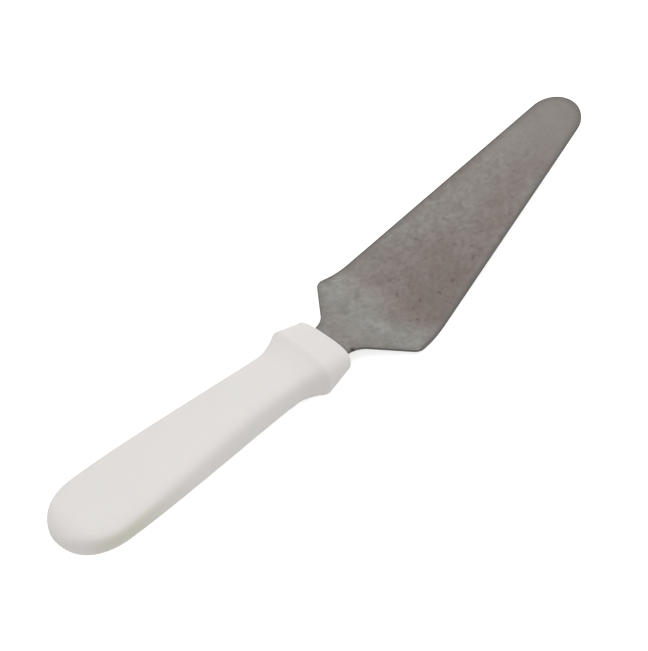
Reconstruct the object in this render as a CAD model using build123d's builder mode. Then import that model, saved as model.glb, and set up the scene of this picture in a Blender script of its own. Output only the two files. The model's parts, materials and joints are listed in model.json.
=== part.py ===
from build123d import *
import os
from math import acos, asin, atan2, cos, hypot, pi, radians, sin, sqrt

# A pie server: a cranked leaf of steel sheet whose tang is moulded into a plastic handle.
# Millimetres. It lies as it rests on a table: +X to the tip, +Y to the left, +Z up.

# Blade: the flat leaf and the sloping heel meet at the crease, where lengths start
sheet = 1.2
flat_length = 117.0
blade_width = 57.2
tip_radius = 11.8
heel_length = 10.7
corner_radius = 4.2
heel_angle = 22.7
crease_radius = 27.0
rim_radius = 0.35

# Neck and tang: the knee is the second, slight bend, a little ahead of the handle, and the
# tang's shoulders lie just inside it
knee_length = 27.0
knee_radius = 60.0
neck_length = 6.5
neck_ease = 6.2
neck_width = 17.0
neck_radius = 9.4
shoulder_inset = 4.0
shoulder_width = 21.2
shoulder_radius = 3.0
tang_end_width = 9.6
tang_cover = 32.0
lock_hole = 5.0
lock_inset = 12.0
lock_end_inset = 16.0
lock_count = 3

# Handle: places are taken back from its front face, heights up and down from its centre line,
# and the butt's lengths forward from its back end. The last three are the opening that the
# butt's end may keep, how near two places count as one, and the step between sections.
handle_angle = 20.2
handle_length = 131.5
nose_radius = 1.5
guard_radius = 3.0
guard_place = 12.8
waist_place = 24.4
palm_place = 48.6
butt_length = 19.6
butt_round = 9.0
nose_width = 28.9
guard_width = 32.2
waist_width = 23.9
butt_width = 33.7
nose_top = 6.4
guard_top = 9.7
waist_top = 6.9
palm_top = 7.9
butt_top = 6.7
nose_under = 4.2
guard_under = 10.6
waist_under = 8.2
palm_under = 8.9
butt_under = 5.7
axis_sag = 2.7
end_gap = 0.04
same_place = 0.01
section_step = 2.8

# Fullness of a handle section: 0.55 is an ellipse, 1 a rectangle
fullness_share = 0.8
# How the handle falls from the guard to the waist: 1 is a straight slant, 2 a full curve
waist_bend = 1.5

# Sections round the butt, and places where the handle's underside is tried on the table
butt_steps = 8
touch_steps = 60

# Side view in the blade's own frame, along the underside: x to the tip, y up from the leaf
heel_way = Vector(-cos(radians(heel_angle)), sin(radians(heel_angle)))
handle_way = Vector(-cos(radians(handle_angle)), sin(radians(handle_angle)))
handle_up = Vector(sin(radians(handle_angle)), cos(radians(handle_angle)))
tang_length = handle_length - tang_cover
butt_place = handle_length - butt_length
knee = heel_way * knee_length
front = knee + handle_way * neck_length
tang_end = front + handle_way * tang_length


def ease(start, end, share):
    """Pass from start to end with no slope at either, as share goes from 0 to 1."""
    return start + (end - start) * share * share * (3 - 2 * share)


def slant(start, end, share):
    """Pass from start to end in a straight line."""
    return start + (end - start) * share


def hollow(start, end, share):
    """Pass from start to end at a slant that turns flat only near the end."""
    return end - (end - start) * (1 - share) ** waist_bend


def share_of(back, start, end):
    """How much of the way from start to end lies in front of this place."""
    return min(max((back - start) / (end - start), 0), 1)


def closing(back, start):
    """Share of its size that the butt's round leaves a section, from 1 at start to 0."""
    return sqrt(1 - share_of(back, start, handle_length) ** 2)


def half_width(back):
    """Half the handle's width, this far behind its front face."""
    if back < guard_place:
        return slant(nose_width, guard_width, share_of(back, 0, guard_place)) / 2
    if back < waist_place:
        return hollow(guard_width, waist_width, share_of(back, guard_place, waist_place)) / 2
    full = ease(waist_width, butt_width, share_of(back, waist_place, butt_place)) / 2
    return full * closing(back, butt_place)


def half_depth(back, nose, guard, waist, palm, butt):
    """The handle's depth on one side of its centre line, this far behind its front face."""
    if back < guard_place:
        return slant(nose, guard, share_of(back, 0, guard_place))
    if back < waist_place:
        return hollow(guard, waist, share_of(back, guard_place, waist_place))
    if back < palm_place:
        return ease(waist, palm, share_of(back, waist_place, palm_place))
    full = ease(palm, butt, share_of(back, palm_place, handle_length))
    return full * closing(back, handle_length - butt_round)


def top(back):
    """Height of the handle's top over its centre line: nearly straight, for the palm."""
    return half_depth(back, nose_top, guard_top, waist_top, palm_top, butt_top)


def under(back):
    """Depth of its underside below the centre line: the guard drops here, for the finger."""
    return half_depth(back, nose_under, guard_under, waist_under, palm_under, butt_under)


def axis_height(back):
    """Height of the handle's centre line over the tang's underside."""
    return sheet / 2 - axis_sag * (back / handle_length) ** 2


def places(start, end):
    """Evenly spaced places after start, up to end, one for each section of the handle."""
    count = max(round((end - start) / section_step), 2)
    return [start + (end - start) * (step + 1) / count for step in range(count)]


# Even steps along the surface, also round the butt, keep the lofted form smooth
butt_run = butt_length - end_gap
stations = [guard_place] + places(guard_place, waist_place)
stations += places(waist_place, butt_place)
stations += [butt_place + butt_run * sin(pi / 2 * (step + 1) / butt_steps) for step in range(butt_steps)]

# It rests on the underside of the crease and on the lowest place of the handle, the guard
crease_reach = crease_radius * (1 - cos(radians(heel_angle))) / sin(radians(heel_angle))
crease_centre = Vector(crease_reach, crease_radius)


def tilt_to_touch(back):
    """Tilt of the leaf at which this place of the handle comes down to the table."""
    lowest = front + handle_way * back + handle_up * (axis_height(back) - under(back))
    gap = lowest - crease_centre
    return atan2(gap.X, gap.Y) + acos(-crease_radius / gap.length)


tries = [handle_length * step / touch_steps for step in range(touch_steps)]
tilt = min(tilt_to_touch(back) for back in tries)
end = front + handle_way * handle_length + handle_up * axis_height(handle_length)
reach_x = flat_length * cos(tilt)
end_x = end.X * cos(tilt) - end.Y * sin(tilt)
crease_z = crease_radius - crease_centre.X * sin(tilt) - crease_centre.Y * cos(tilt)
crease = Vector(-(reach_x + end_x) / 2, 0, crease_z)
flat = Plane(crease, x_dir=(cos(tilt), 0, sin(tilt)), z_dir=(-sin(tilt), 0, cos(tilt)))
side = Plane(crease, x_dir=flat.x_dir, z_dir=-flat.y_dir)
grip_way = side.from_local_coords(handle_way) - crease
grip = Plane(side.from_local_coords(front), x_dir=-flat.y_dir, z_dir=grip_way)
os.makedirs("parts", exist_ok=True)

# Blank, seen square to the leaf: long sides tangent to the tip's round, heel and neck, whose
# sides open again towards the tang's shoulders
overrun = 5.0
heel_x = (heel_way * heel_length).X
neck_x = (knee + handle_way * (neck_length - neck_ease)).X
shoulder_x = (front + handle_way * shoulder_inset).X
tip_x = flat_length - tip_radius
corner_gap = hypot(tip_x - heel_x, blade_width / 2)
taper = atan2(blade_width / 2, tip_x - heel_x) - asin(tip_radius / corner_gap)
touch_x = tip_x + tip_radius * sin(taper)
touch_y = tip_radius * cos(taper)
with BuildPart() as blank:
    with BuildSketch(flat) as outline:
        with BuildLine():
            Polyline(
                (tang_end.X, 0),
                (tang_end.X, tang_end_width / 2),
                (shoulder_x, shoulder_width / 2),
                (neck_x, neck_width / 2),
                (heel_x, blade_width / 2),
                (touch_x, touch_y),
            )
            mirror(about=Plane.XZ)
            ThreePointArc((touch_x, touch_y), (flat_length, 0), (touch_x, -touch_y))
        make_face()
        # In pairs from the back: the tang's end and its shoulders, the neck and the heel's corners
        fillet(outline.vertices().group_by(Axis.X)[3], corner_radius)
        fillet(outline.vertices().group_by(Axis.X)[2], neck_radius)
        fillet(outline.vertices().group_by(Axis.X)[1], shoulder_radius)
    extrude(amount=tang_end.Y + overrun, both=True)

# Underside of the bent sheet, as wide as the blank at least, trimmed to it
with BuildLine(side) as run:
    FilletPolyline(
        (flat_length + overrun, 0),
        (0, 0),
        (knee.X, knee.Y),
        (tang_end.X, tang_end.Y),
        radius=[crease_radius, knee_radius],
    )
lines = [edge.moved(Pos(0, -blade_width, 0)) for edge in run.edges()]
leaves = [Face.extrude(line, (0, 2 * blade_width, 0)) & blank.part for line in lines]

# Blade: the sheet stands square on its skin, so cut edges stay square round the bends too
lock_run = tang_length - lock_inset - lock_end_inset
with BuildPart() as blade:
    thicken(leaves, amount=sheet, normal_override=flat.z_dir)
    rim = blade.edges().filter_by(Axis.Y, reverse=True).filter_by(lambda edge: edge.length > 1.1 * sheet)
    fillet(rim, rim_radius)
    with Locations(grip.offset(lock_inset + lock_run / 2)):
        with Locations(Rotation(90, 0, 0)):
            with GridLocations(0, lock_run / (lock_count - 1), 1, lock_count):
                Hole(lock_hole / 2)
blade.part.label = "blade"
export_step(blade.part, "parts/blade.step")

# Handle: a nose that flares to the guard's ridge, and behind it one soft form through its
# sections, moulded round the tang and through its holes
with BuildPart() as handle:
    for sections in ((0, guard_place), stations):
        for back in sections:
            middle = axis_height(back)
            rise, fall, right = top(back), -under(back), half_width(back)
            with BuildSketch(grip.offset(back)):
                with BuildLine():
                    for wide, tall in ((right, rise), (-right, rise), (-right, fall), (right, fall)):
                        Bezier(
                            (wide, middle),
                            (wide, middle + fullness_share * tall),
                            (fullness_share * wide, middle + tall),
                            (0, middle + tall),
                        )
                make_face()
        loft()
    way_back = Axis(grip.origin, grip.z_dir)
    ridge = handle.edges().filter_by_position(way_back, guard_place - same_place, guard_place + same_place)
    fillet(ridge, guard_radius)
    fillet(handle.faces().sort_by(way_back)[0].edges(), nose_radius)
    add(blade.part, mode=Mode.SUBTRACT)
handle.part.label = "handle"
export_step(handle.part, "parts/handle.step")

for piece in (blade.part, handle.part):
    print(piece.label, "volume", round(piece.volume), "solids", len(piece.solids()), piece.bounding_box())
print("serving face at", flat.from_local_coords((flat_length / 2, 0, sheet)), "facing", flat.z_dir)
print("leaf underside at", flat.from_local_coords((flat_length / 2, 0, 0)), "facing", -flat.z_dir)
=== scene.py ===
import json
from math import asin, atan2, cos, hypot, radians, sin

import bpy
from mathutils import Matrix, Vector


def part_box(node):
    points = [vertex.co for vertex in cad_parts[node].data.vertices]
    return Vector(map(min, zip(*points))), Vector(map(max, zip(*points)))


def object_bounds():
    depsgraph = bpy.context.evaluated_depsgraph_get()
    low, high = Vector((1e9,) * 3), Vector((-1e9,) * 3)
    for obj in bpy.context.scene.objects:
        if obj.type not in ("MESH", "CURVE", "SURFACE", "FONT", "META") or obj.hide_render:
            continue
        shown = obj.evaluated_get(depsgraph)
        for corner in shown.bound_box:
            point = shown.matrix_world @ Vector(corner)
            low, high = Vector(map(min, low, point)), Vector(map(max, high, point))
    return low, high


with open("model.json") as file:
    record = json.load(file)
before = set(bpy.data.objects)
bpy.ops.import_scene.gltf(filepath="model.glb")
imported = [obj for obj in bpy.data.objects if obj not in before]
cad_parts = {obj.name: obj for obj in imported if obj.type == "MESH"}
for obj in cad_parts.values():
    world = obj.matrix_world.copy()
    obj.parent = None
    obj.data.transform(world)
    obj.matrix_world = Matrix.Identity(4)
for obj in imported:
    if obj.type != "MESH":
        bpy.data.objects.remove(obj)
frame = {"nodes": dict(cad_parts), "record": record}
cad_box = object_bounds()

# The camera looks down on the server from above its handle's right side, as the photograph
# does. Its angles are turns about +Z, up from the table and about its own line of sight,
# and the picture is 648 pixels wide.
view_azimuth = radians(-32.71)
view_elevation = radians(49.99)
view_roll = radians(-16.23)
view_distance = 0.650
view_target = Vector((-0.00412, 0.00532, 0.01068))
focal_pixels = 1682.6
picture_width = 648
sensor_width = 36.0
bpy.ops.object.camera_add()
camera = bpy.context.object
camera.name = "photo_camera"
camera.data.sensor_fit = "HORIZONTAL"
camera.data.sensor_width = sensor_width
camera.data.lens = focal_pixels * sensor_width / picture_width
back = Vector((
    sin(view_azimuth) * cos(view_elevation),
    -cos(view_azimuth) * cos(view_elevation),
    sin(view_elevation),
))
level = Vector((cos(view_azimuth), sin(view_azimuth), 0))
rise = back.cross(level)
right = level * cos(view_roll) + rise * sin(view_roll)
above = rise * cos(view_roll) - level * sin(view_roll)
facing = Matrix((right, above, back)).transposed().to_4x4()
camera.matrix_world = Matrix.Translation(view_target + back * view_distance) @ facing
bpy.context.scene.camera = camera

# The blade is one stamping of stainless sheet: a flat leaf, a soft crease, a sloping heel and
# a tang that runs into the handle. Its faces have the dull mill finish of rolled sheet. They are
# browner and darker on the leaf's right side near the crease, partly the sheet's own tint and
# partly painted reflection that stands in for the less light the leaf reflects there, and its rim
# is ground round, which leaves it darker.
steel_grey = (0.228, 0.225, 0.208)
steel_brown = (0.167, 0.141, 0.131)
steel_warm = (0.231, 0.211, 0.198)
steel_mark_and_shade = (0.110, 0.088, 0.080)
steel_rim_and_shade = (0.104, 0.098, 0.088)
junction_shade_brown = (0.040, 0.034, 0.030)
blade = frame["nodes"]["blade"]

# Its outline as cut, in metres back from the crease and out from the middle. Behind the place
# where it has its half width, the neck opens by this share of the way back.
tip_radius = 0.0118
corner_half = 0.0286
corner_back = 0.0099
neck_half = 0.0085
neck_back = 0.0252
neck_opening = 0.22
neck_round = 0.0090
handle_back = 0.0306
leaf = next(mount for mount in frame["record"]["mounts"] if mount["name"] == "serving_face")
leaf_middle = Vector(leaf["pos_m"])
leaf_up = Vector(leaf["axis"])
leaf_tilt = atan2(-leaf_up.x, leaf_up.z)
leaf_way = Vector((cos(leaf_tilt), 0, sin(leaf_tilt)))
leaf_half = (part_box("blade")[1].x - leaf_middle.x) / cos(leaf_tilt)
crease = leaf_middle - leaf_way * leaf_half
tip_x = 2 * leaf_half - tip_radius
corner_gap = hypot(tip_x + corner_back, corner_half)
side_slope = atan2(corner_half, tip_x + corner_back) - asin(tip_radius / corner_gap)
heel_slope = atan2(corner_half - neck_half, neck_back - corner_back)


def tree_tools(tree):
    """Functions that add a node, do a sum and pass smoothly between two ends, in this tree.

    A node's inputs are given by their labels, with _ for a space, or by their places: i0, i1.
    """
    def add(kind, **inputs):
        node = tree.nodes.new("ShaderNode" + kind)
        for name, value in inputs.items():
            key = int(name[1:]) if name[0] == "i" and name[1:].isdigit() else name.replace("_", " ")
            if isinstance(value, bpy.types.NodeSocket):
                tree.links.new(value, node.inputs[key])
            else:
                node.inputs[key].default_value = value
        return node

    def math(operation, first, second=0.0, third=0.0):
        node = add("Math", i0=first, i1=second, i2=third)
        node.operation = operation
        return node.outputs[0]

    def ramp(value, ends, shares=(0.0, 1.0)):
        node = add("MapRange", Value=value, From_Min=ends[0], From_Max=ends[1])
        node.inputs["To Min"].default_value = shares[0]
        node.inputs["To Max"].default_value = shares[1]
        node.interpolation_type = "SMOOTHSTEP"
        return node.outputs[0]

    return add, math, ramp


def new_group(name, takes, gives):
    """An empty node group with these inputs and outputs, each a name and a socket kind."""
    group = bpy.data.node_groups.new(name, "ShaderNodeTree")
    for socket, kind in takes:
        group.interface.new_socket(socket, in_out="INPUT", socket_type="NodeSocket" + kind)
    for socket, kind in gives:
        group.interface.new_socket(socket, in_out="OUTPUT", socket_type="NodeSocket" + kind)
    return group, group.nodes.new("NodeGroupInput").outputs, group.nodes.new("NodeGroupOutput").inputs


def group_node(add, group, **inputs):
    """Place a node group with these values and return its outputs."""
    node = add("Group")
    node.node_tree = group
    for name, value in inputs.items():
        socket = node.inputs[name.replace("_", " ")]
        if isinstance(value, bpy.types.NodeSocket):
            node.id_data.links.new(value, socket)
        else:
            socket.default_value = value
    return node.outputs


# Soft patches: a surface's colour drifts between two tones over patches of one size. The ends
# are the noise's own values, on both sides of its middle.
patch_ends = (0.36, 0.64)
patches, takes, gives = new_group(
    "soft_patches",
    (("Vector", "Vector"), ("First Tone", "Color"), ("Second Tone", "Color"), ("Patch Size", "Float")),
    (("Tone", "Color"), ("Share", "Float")),
)
add, math, ramp = tree_tools(patches)
patch_scale = math("DIVIDE", 1.0, takes["Patch Size"])
patch_noise = add("TexNoise", Vector=takes["Vector"], Scale=patch_scale, Detail=3.0, Roughness=0.55)
patch_share = ramp(patch_noise.outputs["Fac"], patch_ends)
patch_mix = add("MixRGB", Fac=patch_share, Color1=takes["First Tone"], Color2=takes["Second Tone"])
patches.links.new(patch_mix.outputs[0], gives["Tone"])
patches.links.new(patch_share, gives["Share"])

# Fine grain: the small relief of a rolled or moulded skin, drawn out along X where it is rolled,
# and the share of it that looks dark
dark_ends = (0.5, 0.8)
grain, takes, gives = new_group(
    "fine_grain",
    (("Vector", "Vector"), ("Grain Size", "Float"), ("Drawn Out", "Float")),
    (("Height", "Float"), ("Dark Share", "Float")),
)
add, math, _ = tree_tools(grain)
apart = add("SeparateXYZ", Vector=takes["Vector"]).outputs
drawn = add("CombineXYZ", X=math("DIVIDE", apart[0], takes["Drawn Out"]), Y=apart[1], Z=apart[2])
grain_scale = math("DIVIDE", 1.0, takes["Grain Size"])
grain_noise = add("TexNoise", Vector=drawn.outputs[0], Scale=grain_scale, Detail=2.0, Roughness=0.6)
grain_height = grain_noise.outputs["Fac"]
grain_dark = add("MapRange", Value=grain_height, From_Min=dark_ends[0], From_Max=dark_ends[1])
grain.links.new(grain_height, gives["Height"])
grain.links.new(grain_dark.outputs[0], gives["Dark Share"])

steel = bpy.data.materials.new("satin_steel")
steel.use_nodes = True
add, math, ramp = tree_tools(steel.node_tree)
shader = steel.node_tree.nodes["Principled BSDF"]
surface = add("TexCoord").outputs
on_leaf = add("Mapping", Vector=surface["Object"], Location=crease, Rotation=(0, -leaf_tilt, 0))
on_leaf.vector_type = "TEXTURE"
spot = on_leaf.outputs[0]
along, across, _ = add("SeparateXYZ", Vector=spot).outputs

# How far a spot lies inside the outline, seen square to the leaf: from the leaf's left and
# right sides, which run on round the tip, and from the heel's slant and the neck's side
past = math("SUBTRACT", along, tip_x)
aside = math("ABSOLUTE", across)
rise_in = math("MULTIPLY", past, sin(side_slope))
in_left = math("SUBTRACT", tip_radius, math("MULTIPLY_ADD", across, cos(side_slope), rise_in))
in_right = math("SUBTRACT", tip_radius, math("MULTIPLY_ADD", across, -cos(side_slope), rise_in))
in_side = math("MINIMUM", in_left, in_right)
fall_off = math("MULTIPLY", aside, -sin(side_slope))
beyond = math("MAXIMUM", math("MULTIPLY_ADD", past, cos(side_slope), fall_off), 0.0)
off_side = math("MAXIMUM", math("SUBTRACT", tip_radius, in_side), 0.0)
reach = math("SQRT", math("MULTIPLY_ADD", beyond, beyond, math("MULTIPLY", off_side, off_side)))
in_leaf = math("MINIMUM", in_side, math("SUBTRACT", tip_radius, reach))
from_corner = math("MULTIPLY", math("ADD", along, corner_back), sin(heel_slope))
in_slant = math("MULTIPLY_ADD", math("SUBTRACT", corner_half, aside), cos(heel_slope), from_corner)
opened = math("MULTIPLY_ADD", math("ADD", along, neck_back), -neck_opening, neck_half)
in_heel = math("SMOOTH_MAX", in_slant, math("SUBTRACT", opened, aside), neck_round)
inside = math("MINIMUM", in_leaf, in_heel)


def swing(math, share, amount, value):
    """Add an amount of a share's swing about its middle to a value."""
    return math("MULTIPLY_ADD", math("SUBTRACT", share, 0.5), amount, value)


# Tone: grey on the heel, along the leaf's left side and at its tip, brown towards its right
# side and browner near the crease, drifting in soft patches. The brown is partly the sheet's own
# tint and partly painted reflection: darker than the grey, it stands in for the leaf reflecting
# less light than the heel, most of all towards its right side and near the crease. Ends, here and
# below, are the places in metres, or the shares of the width, where a change starts and where it
# is full.
near_ends = (0.060, 0.012)
near_lean = (0.0, 0.25)
width_ends = (0.30, 0.65)
right_ends = (0.0010, 0.0045)
tip_ends = (0.004, -0.014)
brown_least = 0.575
brown_added = (0.16, 0.34)
heel_ends = (-0.013, 0.006)
waver_size = 0.016
waver_reach = 0.012
drift_size = 0.020
drift_brown = 0.20
from_left = math("DIVIDE", in_left, math("ADD", in_left, in_right))
leaning = math("ADD", ramp(along, near_ends, near_lean), from_left)
to_right = math("MULTIPLY", ramp(leaning, width_ends), ramp(in_right, right_ends))
to_right = math("MULTIPLY", to_right, ramp(past, tip_ends))
brown = math("MULTIPLY_ADD", to_right, ramp(along, near_ends, brown_added), brown_least)
waver = add("TexNoise", Vector=spot, Scale=1 / waver_size, Detail=2.0).outputs["Fac"]
past_crease = ramp(swing(math, waver, waver_reach, along), heel_ends)
brown = math("MULTIPLY", brown, past_crease)
drift = group_node(add, patches, Vector=spot, Patch_Size=drift_size)["Share"]
brown = swing(math, drift, drift_brown, brown)

# Over it a warmer neck, a lighter band at the crease, which is a painted highlight, and clouds
# and fine mottling, which are calmer at the tip. The dark clouds are the brown ones.
cloud_size = 0.0065
cloud_tones = ((0.950, 0.948, 0.942, 1), (1.050, 1.052, 1.058, 1))
cloud_brown = -0.10
mottle_size = 0.0024
mottle_tones = ((0.928, 0.922, 0.922, 1), (1.072, 1.078, 1.078, 1))
calm_ends = (-0.004, -0.036)
calm_shares = (0.30, 1.00)
neck_ends = (-0.010, -0.022)
neck_shares = (0.0, 0.85)
crease_front = (0.010, -0.003)
crease_back = (-0.016, -0.007)
crease_highlight = (1.13, 1.13, 1.13, 1)
cloud, mottle = (
    group_node(add, patches, Vector=spot, Patch_Size=size, First_Tone=tones[0], Second_Tone=tones[1])
    for size, tones in ((cloud_size, cloud_tones), (mottle_size, mottle_tones))
)
brown = swing(math, cloud["Share"], cloud_brown, brown)
brown_share = math("MINIMUM", math("MAXIMUM", brown, 0.0), 1.0)
toned = add("MixRGB", Fac=brown_share, Color1=(*steel_grey, 1), Color2=(*steel_brown, 1)).outputs[0]
on_neck = ramp(along, neck_ends, neck_shares)
colour = add("MixRGB", Fac=on_neck, Color1=toned, Color2=(*steel_warm, 1)).outputs[0]
# Painted highlight: a lighter band across the crease
on_crease_highlight = math("MULTIPLY", ramp(along, crease_front), ramp(along, crease_back))
behind_tip = ramp(past, calm_ends, calm_shares)
for share, tone in ((on_crease_highlight, crease_highlight), (behind_tip, cloud["Tone"]), (behind_tip, mottle["Tone"])):
    layer = add("MixRGB", Fac=share, Color1=colour, Color2=tone)
    layer.blend_type = "MULTIPLY"
    colour = layer.outputs[0]

# Marks and painted shade: dull spots, most of them in the brown, the rolled grain's dark side,
# and painted shade, darker towards the leaf's right side and near the crease, that stands in for a
# darker reflection there. The spots' ends, and the streaks' below, are their noise's values.
spot_size = 0.0042
spot_ends = (0.61, 0.75)
spot_least = 0.1
spot_brown = 0.55
rolled_size = 0.0005
rolled_out = 2.0
rolled_dark = 0.3
right_shade_ends = (0.30, 0.90)
right_shade_shares = (0.15, 0.35)
spot_noise = add("TexNoise", Vector=spot, Scale=1 / spot_size, Detail=1.5).outputs["Fac"]
spots = math("MULTIPLY", ramp(spot_noise, spot_ends), math("MULTIPLY_ADD", brown, spot_brown, spot_least))
spots = math("MULTIPLY", spots, behind_tip)
rolled = group_node(add, grain, Vector=spot, Grain_Size=rolled_size, Drawn_Out=rolled_out)
# Painted shade: darker towards the leaf's right side and near the crease
right_shade = math("MULTIPLY", ramp(from_left, right_shade_ends), ramp(along, near_ends, right_shade_shares))
right_shade = math("MULTIPLY", right_shade, past_crease)
marks_and_shade = math("MAXIMUM", spots, math("MULTIPLY", rolled["Dark Share"], rolled_dark))
marks_and_shade = math("ADD", marks_and_shade, right_shade)

# Rim: the cut edge itself, told by how far a face turns to the side or the tip, a dark line
# where its rounding runs out on the face, a softly darker band beside that, and short grinding
# marks square to it round the tip
side_turn = (0.25, 0.6)
tip_turn = (0.6, 0.8)
line_ends = (0.0014, 0.0006)
line_shares = (0.0, 0.70)
soft_ends = (0.0034, 0.0010)
soft_shares = (0.0, 0.30)
streaks_per_radian = 14.0
streak_ends = (0.40, 0.65)
streak_shares = (0.20, 0.50)
ground_ends = (0.0036, 0.0010)
ground_start = (-0.006, 0.002)
faces = add("SeparateXYZ", Vector=surface["Normal"]).outputs
to_tip = add("VectorMath", i0=surface["Normal"], i1=leaf_way)
to_tip.operation = "DOT_PRODUCT"
cut_side = ramp(math("ABSOLUTE", faces[1]), side_turn)
cut = math("MAXIMUM", cut_side, ramp(to_tip.outputs["Value"], tip_turn))
run_out = math("MAXIMUM", ramp(inside, line_ends, line_shares), ramp(inside, soft_ends, soft_shares))
streaks = add("TexNoise", Scale=streaks_per_radian, Detail=2.0)
streaks.noise_dimensions = "1D"
steel.node_tree.links.new(math("ARCTAN2", across, past), streaks.inputs["W"])
ground = ramp(streaks.outputs["Fac"], streak_ends, streak_shares)
for zone in (ramp(inside, ground_ends), ramp(past, ground_start)):
    ground = math("MULTIPLY", ground, zone)
rim_and_shade_share = math("MAXIMUM", cut, math("MAXIMUM", run_out, ground))

# Dirt and painted shade: a darker zone where the sheet goes into the handle, ahead of its front,
# partly dirt and partly painted shade under the handle's nose, and a dark spot at the neck's
# right edge, painted shade where that edge meets the handle
entry_ends = (0.0048, 0.0028)
entry_shares = (0.0, 0.50)
junction_shade_place = (-0.0258, -0.0095, 0)
junction_shade_ends = (0.0013, 0.0003)
junction_shade_shares = (0.0, 0.85)
ahead = math("ADD", along, handle_back)
# Partly dirt, partly painted shade, just ahead of the handle's front
rim_and_shade_share = math("MAXIMUM", rim_and_shade_share, ramp(ahead, entry_ends, entry_shares))
seen_flat = add("CombineXYZ", X=along, Y=across).outputs[0]
from_junction_shade = add("VectorMath", i0=seen_flat, i1=junction_shade_place)
from_junction_shade.operation = "DISTANCE"
# Painted shade: a dark spot where the neck's right edge meets the handle
junction_shade = ramp(from_junction_shade.outputs["Value"], junction_shade_ends, junction_shade_shares)
for share, tone in ((marks_and_shade, steel_mark_and_shade), (rim_and_shade_share, steel_rim_and_shade), (junction_shade, junction_shade_brown)):
    colour = add("MixRGB", Fac=share, Color1=colour, Color2=(*tone, 1)).outputs[0]

# Finish: a little rougher in the light clouds and on the rim, with the rolled grain's relief
steel_rough = 0.42
cloud_rough = 0.06
rim_rough = 0.12
rolled_depth = 0.00001
rough = math("MULTIPLY_ADD", cloud["Share"], cloud_rough, steel_rough)
rough = math("MULTIPLY_ADD", rim_and_shade_share, rim_rough, rough)
relief = add("Bump", Strength=1.0, Distance=rolled_depth, Height=rolled["Height"])
steel.node_tree.links.new(colour, shader.inputs["Base Color"])
steel.node_tree.links.new(rough, shader.inputs["Roughness"])
steel.node_tree.links.new(relief.outputs[0], shader.inputs["Normal"])
shader.inputs["Metallic"].default_value = 1.0
blade.data.materials.clear()
blade.data.materials.append(steel)

# The handle is one moulding of white polypropylene round the tang, straight from the mould:
# a fine matt texture, a little uneven in tone, slightly see-through at its thin edges, and
# darker and yellower on the sides of its palm end: partly yellowing of the plastic, partly
# painted shade and a painted yellowish reflection on those sides.
plastic_white = (0.735, 0.700, 0.680)
plastic_cool = (0.725, 0.704, 0.678)
plastic_yellow_and_shade = (0.625, 0.612, 0.530)
plastic_patch = 0.02
plastic_rough = 0.58
uneven_rough = 0.05
skin_size = 0.0004
skin_depth = 0.000012
scatter_weight = 0.4
scatter_radius = (1.0, 0.9, 0.8)
scatter_depth = 0.003
side_turn = (0.66, 1.00)
palm_ends = (-0.085, -0.120)
handle = frame["nodes"]["handle"]
plastic = bpy.data.materials.new("white_plastic")
plastic.use_nodes = True
add, math, ramp = tree_tools(plastic.node_tree)
shader = plastic.node_tree.nodes["Principled BSDF"]
shader.inputs["Subsurface Weight"].default_value = scatter_weight
shader.inputs["Subsurface Radius"].default_value = scatter_radius
shader.inputs["Subsurface Scale"].default_value = scatter_depth
surface = add("TexCoord").outputs
uneven = group_node(
    add, patches, Vector=surface["Object"], Patch_Size=plastic_patch,
    First_Tone=(*plastic_white, 1), Second_Tone=(*plastic_cool, 1),
)
skin = group_node(add, grain, Vector=surface["Object"], Grain_Size=skin_size, Drawn_Out=1.0)
faces = add("SeparateXYZ", Vector=surface["Normal"]).outputs
place = add("SeparateXYZ", Vector=surface["Object"]).outputs
on_side = ramp(math("ABSOLUTE", faces[1]), side_turn)
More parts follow.
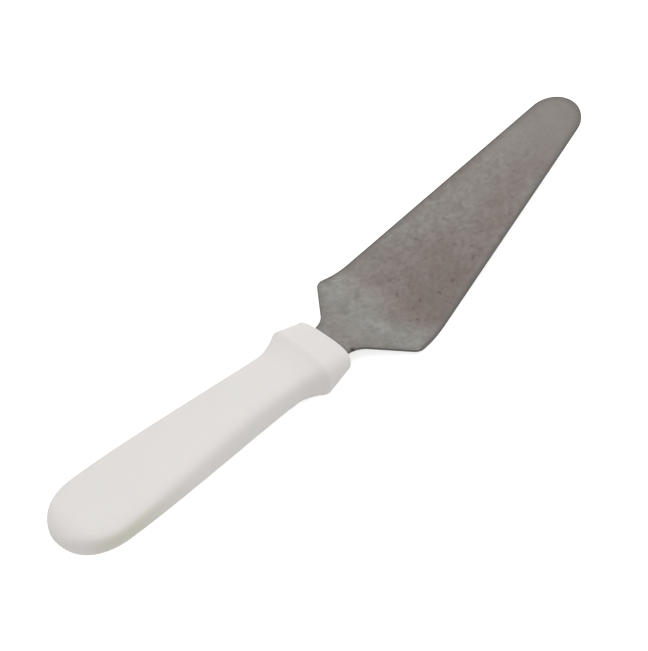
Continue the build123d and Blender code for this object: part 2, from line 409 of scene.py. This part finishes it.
# Painted shade and reflection, with some yellowing: the palm end's sides darker and yellower
palm_side = math("MULTIPLY", on_side, ramp(place[0], palm_ends))
yellowed_and_shaded = add("MixRGB", Fac=palm_side, Color1=uneven["Tone"], Color2=(*plastic_yellow_and_shade, 1))
rough = math("MULTIPLY_ADD", uneven["Share"], uneven_rough, plastic_rough)
relief = add("Bump", Strength=1.0, Distance=skin_depth, Height=skin["Height"])
plastic.node_tree.links.new(yellowed_and_shaded.outputs[0], shader.inputs["Base Color"])
plastic.node_tree.links.new(rough, shader.inputs["Roughness"])
plastic.node_tree.links.new(relief.outputs[0], shader.inputs["Normal"])
handle.data.materials.clear()
handle.data.materials.append(plastic)

# The table is a plain white paper sweep. It takes the server's shadow, and seen straight it
# is a little lighter than its paper, so that it reads white.
paper_white = (0.82, 0.82, 0.82)
paper_glow = 0.68
floor_size = 8.0


def seen_straight(add, math):
    """1 where a ray comes from the camera, off a glossy face or through a clear one, else 0."""
    ray = add("LightPath").outputs
    by_object = math("MAXIMUM", ray["Is Glossy Ray"], ray["Is Transmission Ray"])
    return math("MAXIMUM", ray["Is Camera Ray"], by_object)


bpy.ops.object.select_all(action="DESELECT")
bpy.ops.mesh.primitive_plane_add(size=floor_size, location=(0, 0, cad_box[0][2]))
floor = bpy.context.object
floor.name = "paper_floor"
paper = bpy.data.materials.new("white_paper")
paper.use_nodes = True
add, math, _ = tree_tools(paper.node_tree)
shader = paper.node_tree.nodes["Principled BSDF"]
shader.inputs["Base Color"].default_value = (*paper_white, 1)
shader.inputs["Roughness"].default_value = 1.0
shader.inputs["Specular IOR Level"].default_value = 0.0
shader.inputs["Emission Color"].default_value = (1, 1, 1, 1)
glow = math("MULTIPLY", seen_straight(add, math), paper_glow)
paper.node_tree.links.new(glow, shader.inputs["Emission Strength"])
floor.data.materials.append(paper)

# Plain soft studio light: an even white room, pure white where it is seen straight, and one
# wide lamp nearly overhead, a little towards the tip
room_light = 0.61
lamp_light = 1.30
lamp_angle = radians(60)
lamp_from = Vector((0.32, -0.05, 0.946))
world = bpy.data.worlds.new("white_room")
world.use_nodes = True
add, math, _ = tree_tools(world.node_tree)
room = world.node_tree.nodes["Background"]
room.inputs["Color"].default_value = (1, 1, 1, 1)
strength = math("MULTIPLY_ADD", seen_straight(add, math), 1.0 - room_light, room_light)
world.node_tree.links.new(strength, room.inputs["Strength"])
bpy.context.scene.world = world
bpy.ops.object.light_add(type="SUN", rotation=lamp_from.to_track_quat("Z", "Y").to_euler())
lamp = bpy.context.object
lamp.name = "wide_lamp"
lamp.data.energy = lamp_light
lamp.data.angle = lamp_angle

bpy.context.scene.view_settings.view_transform = "Standard"
